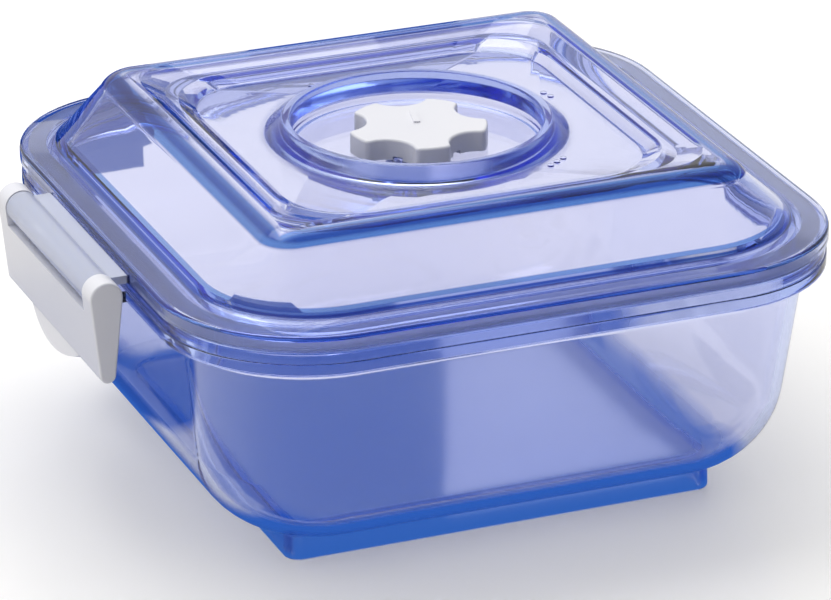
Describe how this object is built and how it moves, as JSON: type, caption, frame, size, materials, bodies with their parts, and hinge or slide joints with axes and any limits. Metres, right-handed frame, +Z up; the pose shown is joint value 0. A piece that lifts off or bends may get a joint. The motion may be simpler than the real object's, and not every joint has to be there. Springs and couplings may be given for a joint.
{
  "type": "vacuum seal canister",
  "caption": "Square clear-blue vacuum food canister: drafted bowl on a foot ring, sloped lid with a raised frame, a gasket and a sunk well, a white hinged side clip and a lobed valve knob.",
  "frame": {"origin": "centre of the whole box's underside, on the surface that the canister stands on; the axis of the bowl and the knob stands 6.8 mm to the right of it, because the clip sticks out on the left", "axes": "+Z up; +X along the front edge, away from the clip; +Y from the front wall to the back wall"},
  "size_m": [0.2036, 0.19, 0.0973],
  "materials": {
    "clear_blue_bowl": "clear polished",
    "clear_blue_lid": "clear polished",
    "white_clip": "satin moulded",
    "white_knob": "satin moulded",
    "natural_plastic": "matte moulded",
    "silicone": "translucent matte",
    "spring_steel": "stamped"
  },
  "bodies": {
    "bowl": {"bowl": "clear_blue_bowl"},
    "lid": {"lid": "clear_blue_lid", "lid_gasket": "silicone"},
    "side_clip": {"side_clip": "white_clip"},
    "knob": {"knob": "white_knob", "knob_seal": "silicone", "valve_stem": "natural_plastic", "stem_o_ring": "silicone", "disc_spring": "spring_steel", "stem_washer": "natural_plastic", "retaining_ring": "spring_steel"}
  },
  "joints": [
    {"name": "lid_lift", "type": "slide", "parent": "bowl", "child": "lid", "axis": [0, 0, 1], "range_m": [0, 0.12]},
    {"name": "side_clip_open", "type": "hinge", "parent": "lid", "child": "side_clip", "pos_m": [-0.0972, 0, 0.0739], "axis": [0, 1, 0], "range_deg": [0, 105]},
    {"name": "knob_turn", "type": "hinge", "parent": "lid", "child": "knob", "pos_m": [0.0068, 0, 0.0885], "axis": [0, 0, 1], "range_deg": [-131, 33]}
  ]
}
